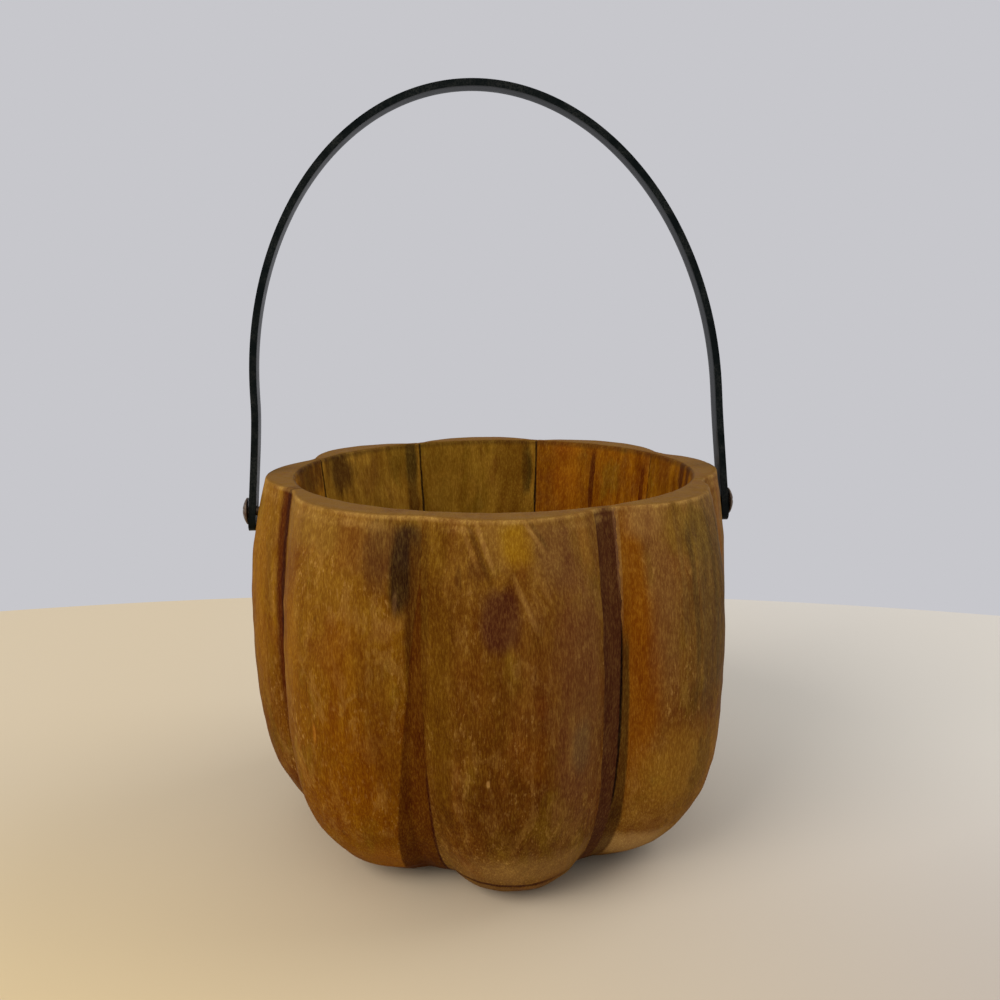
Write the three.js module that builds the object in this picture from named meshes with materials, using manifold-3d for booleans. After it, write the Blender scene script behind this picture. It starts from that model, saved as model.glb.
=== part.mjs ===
// A wooden pail: thick glued staves carved into rounded lobes, a let-in floor and a swinging strap bail.
// Lengths are millimetres and +Z is up. The origin is the middle of the footprint, on the ground.
// The front of the pail faces -Y, and the bail swings about an axis that runs along X.

import * as THREE from "three";
import Module from "manifold-3d";

const wasm = await Module();
wasm.setup();

// Carved body: the crest is the outermost line of a lobe, and the groove is the valley between two lobes.
// The rim and belly walls are measured under a crest, and the foot wall under a groove.
const bodyHeight = 163;
const rimCrestRadius = 101.7;
const bellyCrestRadius = 110;
const bellyHeight = 94;
const footCrestRadius = 69;
const footGrooveDepth = 13;
const valleyWidth = 8;
const rimWall = 13;
const bellyWall = 28.5;
const footWall = 6;
const outerEdgeBevel = 1.5;
const innerEdgeBevel = 0.8;

// Floor board and the ledge of the staves that it lies on
const floorThickness = 10;
const ledgeHeight = 10;

// Bail: a flat steel strap bent to an arch, with a drilled tab at each end
const pivotDrop = 17;
const strapWidth = 8.5;
const strapThickness = 3.1;
const tabReach = 9;
const armInset = 3.2;
const kneeRise = 40;
const armRise = 50;
const archRise = 137;
const bailSway = 5.6;

// Round-headed wood screws that the bail turns on
const screwHeadRadius = 6;
const screwHeadHeight = 2.4;
const screwHeadEdge = 0.5;
const screwShankRadius = 2;
const screwLength = 17;
const screwTipLength = 3;
const slotWidth = 1.2;
const slotDepth = 1.2;

// Clearance between pieces that touch, and how far a cutter runs past what it cuts
const gap = 0.3;
const overrun = 2;

// Shares, angles and the power of the curve that turns a lobe under
const lowerCurvePower = 3.1;
const tabTiltShare = 0.3;
const bailLeanDegrees = 5.5;

// Counts of facets
const lobeSteps = 16;
const lowerRings = 9;
const upperRings = 9;
const archSteps = 44;
const roundSides = 24;
const floorSides = 64;
const domeSteps = 5;

// The staves run round from the front seam. Each one reaches from its own seam angle to the next one's.
// An angle is counted from the front (-Y) towards the right (+X). The hand-carved lobes aren't all
// alike, so each has its belly and its foot as shares of the driving radii. The groove share is how much
// of the rim wall the groove at its own seam takes away. The valley shares are the widths of the flats
// beside its two seams, as shares of the valley width: the flat at its own seam at the rim and at the
// foot, then the flat at the next stave's seam at the rim and at the foot.
const plainGrooveShare = 0.62;
const staveSeams = [
  {
    name: "stave_front", seam: -19.5, bellyShare: 1, footShare: 1,
    grooveShare: 0.32, valleyShares: [0.25, 0.4, 1, 0.9],
  },
  {
    name: "stave_front_right", seam: 25.5, bellyShare: 1.025, footShare: 0.86,
    grooveShare: 0.77, valleyShares: [0.2, 0.8, 0.4, 0.5],
  },
  {
    name: "stave_right", seam: 69, bellyShare: 0.978, footShare: 0.93,
    grooveShare: plainGrooveShare, valleyShares: [0.4, 0.5, 0.4, 0.5],
  },
  {
    name: "stave_rear_right", seam: 114, bellyShare: 1, footShare: 0.93,
    grooveShare: plainGrooveShare, valleyShares: [0.4, 0.5, 0.5, 0.6],
  },
  {
    name: "stave_rear", seam: 161, bellyShare: 1, footShare: 1,
    grooveShare: 0.7, valleyShares: [0.4, 0.5, 0.4, 0.7],
  },
  {
    name: "stave_rear_left", seam: 202.5, bellyShare: 1, footShare: 0.93,
    grooveShare: 0.75, valleyShares: [0.8, 0.6, 0.4, 0.5],
  },
  {
    name: "stave_left", seam: 246.5, bellyShare: 1.01, footShare: 0.95,
    grooveShare: plainGrooveShare, valleyShares: [0.4, 0.5, 0.3, 0.4],
  },
  {
    name: "stave_front_left", seam: 293.5, bellyShare: 1.02, footShare: 0.9,
    grooveShare: plainGrooveShare, valleyShares: [0.3, 0.4, 0.2, 1.2],
  },
];

const degrees = THREE.MathUtils.degToRad;

// Solids from meshes and back

function toSolid(geometry) {
  const numbers = geometry.index.array;
  const mesh = new wasm.Mesh({
    numProp: 3,
    vertProperties: new Float32Array(geometry.attributes.position.array),
    triVerts: new Uint32Array(numbers),
  });
  return new wasm.Manifold(mesh);
}

function toGeometry(solid) {
  const mesh = solid.getMesh();
  const geometry = new THREE.BufferGeometry();
  geometry.setAttribute("position", new THREE.BufferAttribute(mesh.vertProperties, mesh.numProp));
  geometry.setIndex(new THREE.BufferAttribute(mesh.triVerts, 1));
  return geometry;
}

// Merges vertices that lie on the same spot, so that a geometry closes
function welded(geometry) {
  const source = geometry.index ? geometry.toNonIndexed() : geometry;
  const places = source.attributes.position;
  const grain = gap / 1000;
  const seen = new Map();
  const points = [];
  const numbers = [];
  for (let i = 0; i < places.count; i += 1) {
    const point = new THREE.Vector3().fromBufferAttribute(places, i);
    const key = point.toArray().map((value) => Math.round(value / grain)).join(" ");
    if (!seen.has(key)) {
      seen.set(key, seen.size);
      points.push(point);
    }
    numbers.push(seen.get(key));
  }
  const triangles = [];
  for (let i = 0; i < numbers.length; i += 3) {
    const [a, b, c] = numbers.slice(i, i + 3);
    if (a !== b && b !== c && c !== a) triangles.push(a, b, c);
  }
  const closed = new THREE.BufferGeometry().setFromPoints(points);
  closed.setIndex(triangles);
  return closed;
}

// A round cutter or pin along X, from one X to another, round the point (y, z)
function roundAlongX(radius, fromX, toX, y, z) {
  const geometry = new THREE.CylinderGeometry(radius, radius, toX - fromX, roundSides);
  geometry.rotateZ(-Math.PI / 2);
  geometry.translate((fromX + toX) / 2, y, z);
  return toSolid(welded(geometry));
}

// Body outline

// Share of the belly's fullness that is reached at height z: none at the foot and the rim
function bellyReach(z) {
  if (z < bellyHeight) return Math.sqrt(1 - (1 - z / bellyHeight) ** lowerCurvePower);
  return 1 - ((z - bellyHeight) / (bodyHeight - bellyHeight)) ** 2;
}

function crestRadius(z, bellyShare, footShare) {
  const end = z < bellyHeight ? footCrestRadius * footShare : rimCrestRadius;
  return end + (bellyCrestRadius * bellyShare - end) * bellyReach(z);
}

// The grooves follow the driving radii, whatever the shares of the lobes beside them
function grooveRadius(z, grooveShare) {
  const rimDepth = rimWall * grooveShare;
  const depth = footGrooveDepth + (rimDepth - footGrooveDepth) * (z / bodyHeight);
  return crestRadius(z, 1, 1) - depth;
}

// Angles away from the middle of a lobe between which its round back lies at height z
function backSpan(z, lobe) {
  const [fromRim, fromFoot, toRim, toFoot] = lobe.valleyShares;
  const climb = z / bodyHeight;
  const fromValley = valleyWidth * (fromFoot + (fromRim - fromFoot) * climb);
  const toValley = valleyWidth * (toFoot + (toRim - toFoot) * climb);
  return [
    fromValley / grooveRadius(z, lobe.grooveShare) - lobe.halfAngle,
    lobe.halfAngle - toValley / grooveRadius(z, lobe.nextGrooveShare),
  ];
}

// Outer radius of a lobe at height z, at an angle away from its middle. Its back is round, and tipped
// where the grooves on its two sides aren't equally deep.
function lobeRadius(z, awayAngle, lobe) {
  const crest = crestRadius(z, lobe.bellyShare, lobe.footShare);
  const fromGroove = grooveRadius(z, lobe.grooveShare);
  const toGroove = grooveRadius(z, lobe.nextGrooveShare);
  const [from, to] = backSpan(z, lobe);
  if (awayAngle <= from) return fromGroove;
  if (awayAngle >= to) return toGroove;
  const groove = (fromGroove + toGroove) / 2;
  const reach = (to - from) / 2;
  const chord = groove * Math.sin(reach);
  const rise = crest - groove * Math.cos(reach);
  const backRadius = (chord ** 2 + rise ** 2) / (2 * rise);
  const centre = crest - backRadius;
  const turn = awayAngle - (from + to) / 2;
  const side = centre * Math.sin(turn);
  const tip = ((toGroove - fromGroove) / 2) * (turn / reach);
  return centre * Math.cos(turn) + Math.sqrt(backRadius ** 2 - side ** 2) + tip;
}

// Inner radii: at the rim, the belly and the floor's seat, between which the bore tapers, and through the ledge
const rimInnerRadius = rimCrestRadius - rimWall;
const bellyInnerRadius = bellyCrestRadius - bellyWall;
const floorSeatRadius = grooveRadius(ledgeHeight, plainGrooveShare) - footWall;
const ledgeRadius = grooveRadius(0, plainGrooveShare) - footWall;

function boreRadius(z) {
  if (z < bellyHeight) {
    const climb = (z - ledgeHeight) / (bellyHeight - ledgeHeight);
    return floorSeatRadius + (bellyInnerRadius - floorSeatRadius) * climb;
  }
  const climb = (z - bellyHeight) / (bodyHeight - bellyHeight);
  return bellyInnerRadius + (rimInnerRadius - bellyInnerRadius) * climb;
}

// Heights of the outer rings: closer together near the foot, where the lobe turns under
function outerHeights() {
  const heights = [];
  for (let i = 0; i <= lowerRings; i += 1) {
    heights.push(bellyHeight * (i / lowerRings) ** 2);
  }
  const shoulder = bodyHeight - outerEdgeBevel;
  for (let i = 1; i <= upperRings; i += 1) {
    heights.push(bellyHeight + (shoulder - bellyHeight) * (i / upperRings));
  }
  return heights;
}

// Upright section of a stave as radius and height, at an angle away from its middle
function staveSection(awayAngle, lobe) {
  const outline = outerHeights().map((z) => new THREE.Vector2(lobeRadius(z, awayAngle, lobe), z));
  const rimEdge = lobeRadius(bodyHeight, awayAngle, lobe) - outerEdgeBevel;
  outline.push(new THREE.Vector2(rimEdge, bodyHeight));
  outline.push(new THREE.Vector2(rimInnerRadius + innerEdgeBevel, bodyHeight));
  outline.push(new THREE.Vector2(boreRadius(bodyHeight - innerEdgeBevel), bodyHeight - innerEdgeBevel));
  outline.push(new THREE.Vector2(bellyInnerRadius, bellyHeight));
  outline.push(new THREE.Vector2(floorSeatRadius, ledgeHeight));
  outline.push(new THREE.Vector2(ledgeRadius, ledgeHeight));
  outline.push(new THREE.Vector2(ledgeRadius, 0));
  return outline;
}

// A point at a radius, angle and height, moved along the angle by a short distance
function placeRound(radius, angle, z, slip) {
  const x = radius * Math.sin(angle) + slip * Math.cos(angle);
  const y = -radius * Math.cos(angle) + slip * Math.sin(angle);
  return new THREE.Vector3(x, y, z);
}

// Angles of a stave's sections, away from its middle: both seams, both ends of the round back, and between
function sectionAngle(step, z, lobe) {
  if (step === 0) return -lobe.halfAngle;
  if (step === lobeSteps + 2) return lobe.halfAngle;
  const [from, to] = backSpan(z, lobe);
  return from + (to - from) * ((step - 1) / lobeSteps);
}

function staveGeometry(lobe) {
  const fromOutline = staveSection(-lobe.halfAngle, lobe);
  const toOutline = staveSection(lobe.halfAngle, lobe);
  const size = toOutline.length;
  const lastStep = lobeSteps + 2;
  const points = [];
  for (let step = 0; step <= lastStep; step += 1) {
    let slip = 0;
    if (step === 0) slip = gap / 2;
    if (step === lastStep) slip = -gap / 2;
    for (let i = 0; i < size; i += 1) {
      const z = toOutline[i].y;
      const away = sectionAngle(step, z, lobe);
      const radius = staveSection(away, lobe)[i].x;
      points.push(placeRound(radius, lobe.middleAngle + away, z, slip));
    }
  }
  const triangles = [];
  for (let step = 0; step < lastStep; step += 1) {
    for (let i = 0; i < size; i += 1) {
      const next = (i + 1) % size;
      const a = step * size + i;
      const b = step * size + next;
      const c = (step + 1) * size + next;
      const d = (step + 1) * size + i;
      triangles.push(a, c, b, a, d, c);
    }
  }
  const lastRow = lastStep * size;
  THREE.ShapeUtils.triangulateShape(fromOutline, [])
    .forEach(([a, b, c]) => triangles.push(a, b, c));
  THREE.ShapeUtils.triangulateShape(toOutline, [])
    .forEach(([a, b, c]) => triangles.push(lastRow + a, lastRow + c, lastRow + b));
  const geometry = new THREE.BufferGeometry().setFromPoints(points);
  geometry.setIndex(triangles);
  return geometry;
}

const lobes = staveSeams.map((stave, i) => {
  const next = staveSeams[(i + 1) % staveSeams.length];
  const end = i + 1 < staveSeams.length ? next.seam : next.seam + 360;
  return {
    ...stave,
    nextGrooveShare: next.grooveShare,
    middleAngle: degrees((stave.seam + end) / 2),
    halfAngle: degrees((end - stave.seam) / 2),
  };
});

const pivotHeight = bodyHeight - pivotDrop;
const tabEndHeight = pivotHeight - tabReach;

// One side of the bail: the lobe that carries it, and where its drilled tab and its screw's head lie.
// The tab leans out with the wood, far enough for the strap to clear it from the tab's end to the rim.
function bailSide(along, screw, slotTurn) {
  const angle = along > 0 ? Math.PI / 2 : Math.PI * 1.5;
  const lobe = lobes.find((one) => Math.abs(angle - one.middleAngle) < one.halfAngle);
  const reach = (z) => lobeRadius(z, angle - lobe.middleAngle, lobe);
  const woodSlope = (reach(tabEndHeight) - reach(pivotHeight + tabReach)) / (2 * tabReach);
  const tabSlope = woodSlope * tabTiltShare;
  const rimInset = armInset * (pivotDrop / kneeRise);
  const tabInnerX = gap + Math.max(
    reach(tabEndHeight) - tabSlope * tabReach,
    reach(pivotHeight),
    reach(bodyHeight) - outerEdgeBevel + rimInset,
  );
  const tabMiddleX = tabInnerX + strapThickness / 2;
  const armMiddleX = tabMiddleX - armInset;
  const headX = tabInnerX + strapThickness + tabSlope * screwHeadRadius + gap;
  return { along, lobe, screw, slotTurn, tabSlope, tabMiddleX, armMiddleX, headX };
}

const sides = [
  bailSide(1, "pivot_screw_right", degrees(-20)),
  bailSide(-1, "pivot_screw_left", degrees(35)),
];

// Centre line of the strap below its arch on one side, as X and height over the pivot, knee first
function tabLine(side) {
  const { along, armMiddleX, tabMiddleX, tabSlope } = side;
  return [
    new THREE.Vector2(along * armMiddleX, kneeRise),
    new THREE.Vector2(along * tabMiddleX, 0),
    new THREE.Vector2(along * (tabMiddleX + tabSlope * tabReach), -tabReach),
  ];
}

// Centre line of the whole strap from the left tab's end to the right one's. As on the real pail, it
// sways a little to the left as it climbs.
function bailCentreLine() {
  const [rightArmX, leftArmX] = sides.map((side) => side.along * side.armMiddleX);
  const arch = new THREE.EllipseCurve(
    (rightArmX + leftArmX) / 2, armRise,
    (rightArmX - leftArmX) / 2, archRise - strapThickness / 2,
    Math.PI, 0, true,
  );
  const [rightSide, leftSide] = sides.map(tabLine);
  const line = [...leftSide.reverse(), ...arch.getPoints(archSteps), ...rightSide];
  line.forEach((point) => {
    const climb = Math.max(0, point.y - kneeRise) / (armRise + archRise - kneeRise);
    point.x -= bailSway * climb;
  });
  return line;
}

// Outline of a bent strip: its centre line moved out on one side and back on the other
function stripOutline(line, thickness) {
  const outer = [];
  const inner = [];
  line.forEach((point, i) => {
    const before = line[Math.max(i - 1, 0)];
    const after = line[Math.min(i + 1, line.length - 1)];
    const inward = point.clone().sub(before).normalize();
    const outward = after.clone().sub(point).normalize();
    if (i === 0) inward.copy(outward);
    if (i === line.length - 1) outward.copy(inward);
    const along = inward.clone().add(outward).normalize();
    const across = new THREE.Vector2(-along.y, along.x);
    const half = thickness / 2 / along.dot(outward);
    outer.push(point.clone().addScaledVector(across, half));
    inner.push(point.clone().addScaledVector(across, -half));
  });
  return [...outer, ...inner.reverse()];
}

// The strap stands at the pivot height, with its width along Y
function bailSolid() {
  const shape = new THREE.Shape(stripOutline(bailCentreLine(), strapThickness));
  const strap = new THREE.ExtrudeGeometry(shape, { depth: strapWidth, bevelEnabled: false, steps: 1 });
  strap.translate(0, 0, -strapWidth / 2);
  strap.rotateX(Math.PI / 2);
  let solid = toSolid(welded(strap));
  const tabRoundZ = -tabReach + strapWidth / 2;
  sides.forEach((side) => {
    const outer = side.along * (side.tabMiddleX + strapThickness + overrun);
    const near = Math.min(outer, 0);
    const far = Math.max(outer, 0);
    const hole = roundAlongX(screwShankRadius + gap, near, far, 0, 0);
    const round = roundAlongX(strapWidth / 2, near, far, 0, tabRoundZ);
    const end = new THREE.BoxGeometry(far - near, strapWidth + overrun, strapWidth);
    end.translate((near + far) / 2, 0, tabRoundZ - strapWidth / 2);
    const corners = toSolid(welded(end)).subtract(round);
    solid = solid.subtract(hole).subtract(corners);
  });
  return solid;
}

// A screw along X with its head outermost, then its slot
function screwSolid(slotTurn) {
  const domeRise = screwHeadHeight - screwHeadEdge;
  const domeRadius = (screwHeadRadius ** 2 + domeRise ** 2) / (2 * domeRise);
  const domeHalfAngle = Math.asin(screwHeadRadius / domeRadius);
  const outline = [
    new THREE.Vector2(0, -screwLength),
    new THREE.Vector2(screwShankRadius, screwTipLength - screwLength),
    new THREE.Vector2(screwShankRadius, 0),
    new THREE.Vector2(screwHeadRadius, 0),
  ];
  for (let i = 0; i <= domeSteps; i += 1) {
    const angle = domeHalfAngle * (1 - i / domeSteps);
    const y = screwHeadHeight - domeRadius * (1 - Math.cos(angle));
    outline.push(new THREE.Vector2(domeRadius * Math.sin(angle), y));
  }
  const slot = new THREE.BoxGeometry(slotWidth, slotDepth + overrun, 2 * screwHeadRadius + overrun);
  slot.translate(0, screwHeadHeight - slotDepth + (slotDepth + overrun) / 2, 0);
  slot.rotateY(slotTurn);
  const body = toSolid(welded(new THREE.LatheGeometry(outline, roundSides)));
  const geometry = toGeometry(body.subtract(toSolid(welded(slot))));
  geometry.rotateZ(-Math.PI / 2);
  return geometry;
}

// Finishes

const stainedWood = { color: 0x7a4f24, roughness: 0.62, metalness: 0 };
const floorWood = { color: 0x6b451f, roughness: 0.7, metalness: 0 };
const blackSteel = { color: 0x15181a, roughness: 0.38, metalness: 0.6 };
const screwSteel = { color: 0x6f6a5e, roughness: 0.45, metalness: 0.9 };

function named(name, geometry, finish) {
  geometry.computeVertexNormals();
  const mesh = new THREE.Mesh(geometry, new THREE.MeshStandardMaterial(finish));
  mesh.name = name;
  return mesh;
}

// The object

const pail = new THREE.Group();

// A screw hole in the wood, from its blind end out past the surface, on one side
function pilotHole(side) {
  const blind = side.along * (side.headX - screwLength - gap);
  const open = side.along * (side.headX + overrun);
  const near = Math.min(blind, open);
  const far = Math.max(blind, open);
  return roundAlongX(screwShankRadius + gap, near, far, 0, pivotHeight);
}

lobes.forEach((lobe) => {
  let wood = toSolid(staveGeometry(lobe));
  sides.filter((side) => side.lobe === lobe).forEach((side) => {
    wood = wood.subtract(pilotHole(side));
  });
  pail.add(named(lobe.name, toGeometry(wood), stainedWood));
});

// The floor board fills the tapered bore over the ledge
const floorUnderside = ledgeHeight + gap;
const floorTop = floorUnderside + floorThickness;
const board = new THREE.CylinderGeometry(
  boreRadius(floorTop) - gap, boreRadius(floorUnderside) - gap, floorThickness, floorSides,
);
board.rotateX(Math.PI / 2);
board.translate(0, 0, (floorUnderside + floorTop) / 2);
pail.add(named("floor_board", toGeometry(toSolid(welded(board))), floorWood));

// The bail leans back a little from upright, as it was left
const bailStand = new THREE.Group();
bailStand.position.z = pivotHeight;
bailStand.rotation.x = -degrees(bailLeanDegrees);
bailStand.add(named("bail", toGeometry(bailSolid()), blackSteel));
pail.add(bailStand);

sides.forEach((side) => {
  const screw = named(side.screw, screwSolid(side.slotTurn), screwSteel);
  screw.position.set(side.along * side.headX, 0, pivotHeight);
  screw.rotation.z = side.along > 0 ? 0 : Math.PI;
  pail.add(screw);
});

export default pail;
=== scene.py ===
import math
import bpy
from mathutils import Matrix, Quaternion, Vector, noise


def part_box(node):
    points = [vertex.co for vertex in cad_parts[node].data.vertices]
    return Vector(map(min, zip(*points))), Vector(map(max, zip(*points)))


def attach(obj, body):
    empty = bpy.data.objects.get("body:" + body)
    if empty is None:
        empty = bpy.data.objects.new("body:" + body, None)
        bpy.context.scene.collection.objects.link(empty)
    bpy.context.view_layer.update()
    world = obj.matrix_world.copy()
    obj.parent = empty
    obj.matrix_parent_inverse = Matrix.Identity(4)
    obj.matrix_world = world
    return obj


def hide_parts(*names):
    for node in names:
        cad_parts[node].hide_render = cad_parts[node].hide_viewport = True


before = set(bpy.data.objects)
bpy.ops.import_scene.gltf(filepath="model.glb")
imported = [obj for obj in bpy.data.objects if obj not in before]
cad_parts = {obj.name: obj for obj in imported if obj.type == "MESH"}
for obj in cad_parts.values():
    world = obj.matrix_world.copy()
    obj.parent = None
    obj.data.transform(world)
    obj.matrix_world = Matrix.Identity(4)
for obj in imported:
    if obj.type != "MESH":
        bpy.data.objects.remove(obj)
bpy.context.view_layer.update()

# --- The front stave --------------------------------------------------
# One of eight thick staves of stained hardwood, glued edge to edge. Its outside is carved by hand to
# a rounded lobe and its inside is hollowed out, so no surface is quite true. The grain runs upright.
# It took a maroon blotch high up, a yellow one over it, and a dark flat strip along its right seam.

# Lengths are in metres and angles in degrees here
merge_distance = 1e-5
carving_mesh_size = 0.0008
flat_pair_angle = 10
flat_pair_skew = 60
carved_edge_angle = 13
worn_edge_passes = 2
waver_width = 0.036
waver_depth = 0.0009
gouge_width = 0.012
gouge_depth = 0.0003
seam_keep = 0.0012
seam_blend = 0.007
rim_height = 0.163
rim_chamfer = 0.0015
worn_rim_chamfer = 0.0005
rim_middle_radius = 0.091
seam_face_reach = 0.0012
seam_pull_reach = 0.0035
closed_seam_push = 0.0008
open_seam_push = 0.0005
opening_fade = 0.006
opening_patches = (50, 50, 160)
foot_keep = 0.0005
foot_blend = 0.004
rim_calm = 0.75
rim_calm_low = 0.006
rim_calm_high = 0.002


def tone(red, green, blue):
    """A colour given as it shows on a screen, 0 to 255, as Blender's linear colour."""
    shares = [value / 255 for value in (red, green, blue)]
    linear = [((s + 0.055) / 1.055) ** 2.4 if s > 0.04045 else s / 12.92 for s in shares]
    return (*linear, 1)


def select_only(piece):
    bpy.ops.object.select_all(action="DESELECT")
    piece.select_set(True)
    bpy.context.view_layer.objects.active = piece


def copy_of_node(node, name):
    """A new piece with a merged copy of a CAD node's mesh."""
    piece = bpy.data.objects.new(name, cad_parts[node].data.copy())
    bpy.context.scene.collection.objects.link(piece)
    piece.data.materials.clear()
    select_only(piece)
    bpy.ops.object.mode_set(mode="EDIT")
    bpy.ops.mesh.select_all(action="SELECT")
    bpy.ops.mesh.remove_doubles(threshold=merge_distance)
    bpy.ops.mesh.tris_convert_to_quads(face_threshold=math.radians(flat_pair_angle),
                                       shape_threshold=math.radians(flat_pair_skew))
    bpy.ops.object.mode_set(mode="OBJECT")
    return piece


def crease_sharp_edges(angle):
    bpy.ops.object.mode_set(mode="EDIT")
    bpy.ops.mesh.select_all(action="DESELECT")
    bpy.ops.mesh.select_mode(type="EDGE")
    bpy.ops.mesh.edges_select_sharp(sharpness=math.radians(angle))
    bpy.ops.transform.edge_crease(value=1)
    bpy.ops.object.mode_set(mode="OBJECT")


def add_and_apply(piece, kind, **settings):
    modifier = piece.modifiers.new(kind.title(), kind)
    for key, value in settings.items():
        setattr(modifier, key, value)
    select_only(piece)
    bpy.ops.object.modifier_apply(modifier=modifier.name)


def smoothly(value, low, high):
    share = min(max((value - low) / (high - low), 0), 1)
    return share * share * (3 - 2 * share)


# The waver of the hand and the flats that the gouge left, as heights over the wood
hand_waver = bpy.data.textures.new("hand_waver", "CLOUDS")
hand_waver.noise_scale = waver_width
gouge_flats = bpy.data.textures.new("gouge_flats", "VORONOI")
gouge_flats.noise_scale = gouge_width


def seam_push(height, open_from, open_to):
    """How far the edges of both staves are pressed over their seam at a height."""
    opened = smoothly(height, open_from - opening_fade, open_from + opening_fade)
    opened *= smoothly(height, open_to + opening_fade, open_to - opening_fade)
    seed = Vector((open_from, open_to, height)) * Vector(opening_patches)
    waver = 0.5 + noise.noise(seed)
    opened *= smoothly(waver, 0.15, 0.5)
    return closed_seam_push + (open_seam_push - closed_seam_push) * opened


def carve_stave(node, from_seam, to_seam):
    """A stave with eased edges and the unevenness of hand carving, closed up to its neighbours. Each
    seam is its angle and the heights between which it has opened."""
    stave = copy_of_node(node, node + "_carved")
    tighten = rim_chamfer - worn_rim_chamfer
    chamfer_low, chamfer_high = rim_height - 1.1 * rim_chamfer, rim_height - 0.1 * rim_chamfer
    for vertex in stave.data.vertices:
        x, y, z = vertex.co
        radius = math.hypot(x, y)
        if radius < rim_middle_radius or z < chamfer_low:
            continue
        if z > chamfer_high:
            vertex.co = (x * (1 + tighten / radius), y * (1 + tighten / radius), z)
        else:
            vertex.co.z += tighten
    crease_sharp_edges(carved_edge_angle)
    add_and_apply(stave, "SUBSURF", levels=2, render_levels=2)
    add_and_apply(stave, "REMESH", mode="VOXEL", voxel_size=carving_mesh_size)
    add_and_apply(stave, "SMOOTH", factor=0.5, iterations=worn_edge_passes)
    free_skin = stave.vertex_groups.new(name="free_skin")
    seams = []
    for (angle, open_from, open_to), side in ((from_seam, -1), (to_seam, 1)):
        turn = math.radians(angle)
        seams.append((Vector((math.cos(turn), math.sin(turn), 0)) * side, open_from, open_to))
    for vertex in stave.data.vertices:
        place = vertex.co.copy()
        nearest = min(abs(place.dot(across)) for across, _, _ in seams)
        weight = smoothly(nearest, seam_keep, seam_blend) * smoothly(place.z, foot_keep, foot_blend)
        weight *= 1 - rim_calm * smoothly(place.z, rim_height - rim_calm_low, rim_height - rim_calm_high)
        free_skin.add([vertex.index], weight, "REPLACE")
        for across, open_from, open_to in seams:
            away = -place.dot(across)
            if 0 <= away < seam_pull_reach:
                push = seam_push(place.z, open_from, open_to)
                vertex.co += across * push * smoothly(away, seam_pull_reach, seam_face_reach)
    add_and_apply(stave, "DISPLACE", texture=hand_waver, texture_coords="LOCAL", mid_level=0.5,
                  strength=2 * waver_depth, vertex_group="free_skin")
    add_and_apply(stave, "DISPLACE", texture=gouge_flats, texture_coords="LOCAL", mid_level=0.3,
                  strength=2 * gouge_depth, vertex_group="free_skin")
    select_only(stave)
    bpy.ops.object.shade_smooth()
    return stave


# Helpers that lay out shader nodes
def add_node(tree, kind, **settings):
    made = tree.nodes.new("ShaderNode" + kind)
    for key, value in settings.items():
        setattr(made, key, value)
    return made


def wire(tree, source, target):
    """Joins an output socket, or sets a plain value, to an input socket."""
    if isinstance(source, bpy.types.NodeSocket):
        tree.links.new(source, target)
    else:
        target.default_value = source


def sum_of(tree, operation, *values):
    """A Math node over sockets or numbers."""
    made = add_node(tree, "Math", operation=operation)
    for i, value in enumerate(values):
        wire(tree, value, made.inputs[i])
    return made.outputs[0]


def product(tree, *values):
    total = values[0]
    for value in values[1:]:
        total = sum_of(tree, "MULTIPLY", total, value)
    return total


def weighed(tree, *pairs):
    """A sum of values, each with its share."""
    total = 0.0
    for value, share in pairs:
        total = sum_of(tree, "MULTIPLY_ADD", value, share, total)
    return total


def ease_between(tree, value, low, high, start=0.0, end=1.0):
    """A smooth step of a value, from start at low to end at high."""
    made = add_node(tree, "MapRange", interpolation_type="SMOOTHSTEP")
    for i, one in enumerate((value, low, high, start, end)):
        wire(tree, one, made.inputs[i])
    return made.outputs[0]


def blend_colour(tree, share, under, over, blend_type="MIX"):
    made = add_node(tree, "Mix", data_type="RGBA", blend_type=blend_type)
    wire(tree, share, made.inputs[0])
    wire(tree, under, made.inputs[6])
    wire(tree, over, made.inputs[7])
    return made.outputs[2]


def cloudy(tree, place, scale, detail=3.0, roughness=0.6, distortion=0.0):
    made = add_node(tree, "TexNoise")
    wire(tree, place, made.inputs["Vector"])
    for key, value in (("Scale", scale), ("Detail", detail), ("Roughness", roughness),
                       ("Distortion", distortion)):
        made.inputs[key].default_value = value
    return made.outputs["Fac"]


def vector_step(tree, operation, first, *others):
    made = add_node(tree, "VectorMath", operation=operation)
    wire(tree, first, made.inputs[0])
    for i, value in enumerate(others):
        wire(tree, value, made.inputs[i + 1])
    return made.outputs["Value" if operation in ("LENGTH", "DOT_PRODUCT") else "Vector"]


def new_finish(name, gloss=0.5):
    """A material, its node tree and its surface."""
    finish = bpy.data.materials.new(name)
    finish.use_nodes = True
    surface = finish.node_tree.nodes["Principled BSDF"]
    surface.inputs["Specular IOR Level"].default_value = gloss
    return finish, finish.node_tree, surface


def add_relief(tree, surface, height, strength, depth):
    """Unevenness too fine for the mesh."""
    relief = add_node(tree, "Bump")
    relief.inputs["Strength"].default_value = strength
    relief.inputs["Distance"].default_value = depth
    wire(tree, height, relief.inputs["Height"])
    wire(tree, relief.outputs["Normal"], surface.inputs["Normal"])


def new_group(name, inputs, outputs):
    """A shader node group. An input is its name and its default, a number or a vector."""
    group = bpy.data.node_groups.new(name, "ShaderNodeTree")
    for label, default in inputs:
        kind = "NodeSocketVector" if isinstance(default, tuple) else "NodeSocketFloat"
        group.interface.new_socket(label, in_out="INPUT", socket_type=kind).default_value = default
    for label in outputs:
        group.interface.new_socket(label, in_out="OUTPUT", socket_type="NodeSocketFloat")
    return group, group.nodes.new("NodeGroupInput").outputs, group.nodes.new("NodeGroupOutput").inputs


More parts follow.
